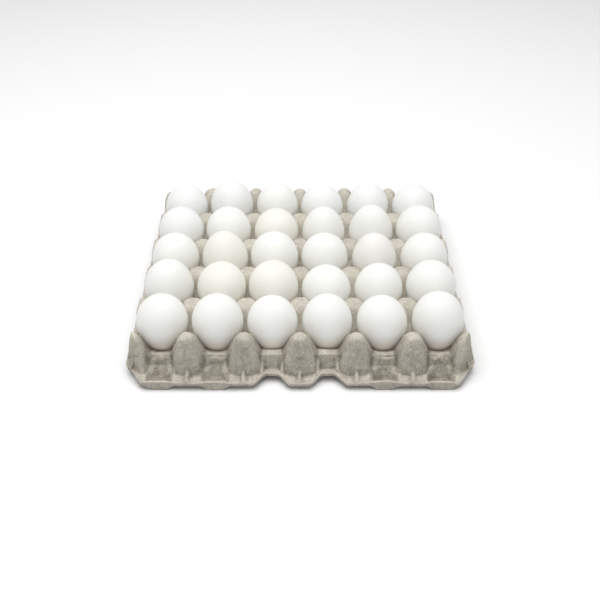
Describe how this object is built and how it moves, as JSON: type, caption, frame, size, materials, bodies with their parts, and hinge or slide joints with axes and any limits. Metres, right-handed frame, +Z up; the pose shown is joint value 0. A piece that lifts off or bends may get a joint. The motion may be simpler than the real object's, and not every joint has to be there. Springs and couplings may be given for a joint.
{
  "type": "egg tray with eggs",
  "caption": "Square tray of moulded grey pulp, open on top, with a white hen's egg standing in each cup; finger notches in two rims.",
  "frame": {"origin": "under the middle of the tray, on the plane that its feet rest on", "axes": "+Z up; X runs along the side with six cups and Y along the side with five, with the pictured front at -Y"},
  "size_m": [0.298, 0.288, 0.0632],
  "materials": {
    "pulp": "rough, fibrous, unglazed",
    "eggshell": "satin, finely pored"
  },
  "bodies": {
    "root": {"tray": "pulp", "egg_1_1": "eggshell", "egg_1_2": "eggshell", "egg_1_3": "eggshell", "egg_1_4": "eggshell", "egg_1_5": "eggshell", "egg_1_6": "eggshell", "egg_2_1": "eggshell", "egg_2_2": "eggshell", "egg_2_3": "eggshell", "egg_2_4": "eggshell", "egg_2_5": "eggshell", "egg_2_6": "eggshell", "egg_3_1": "eggshell", "egg_3_2": "eggshell", "egg_3_3": "eggshell", "egg_3_4": "eggshell", "egg_3_5": "eggshell", "egg_3_6": "eggshell", "egg_4_1": "eggshell", "egg_4_2": "eggshell", "egg_4_3": "eggshell", "egg_4_4": "eggshell", "egg_4_5": "eggshell", "egg_4_6": "eggshell", "egg_5_1": "eggshell", "egg_5_2": "eggshell", "egg_5_3": "eggshell", "egg_5_4": "eggshell", "egg_5_5": "eggshell", "egg_5_6": "eggshell"}
  },
  "joints": []
}
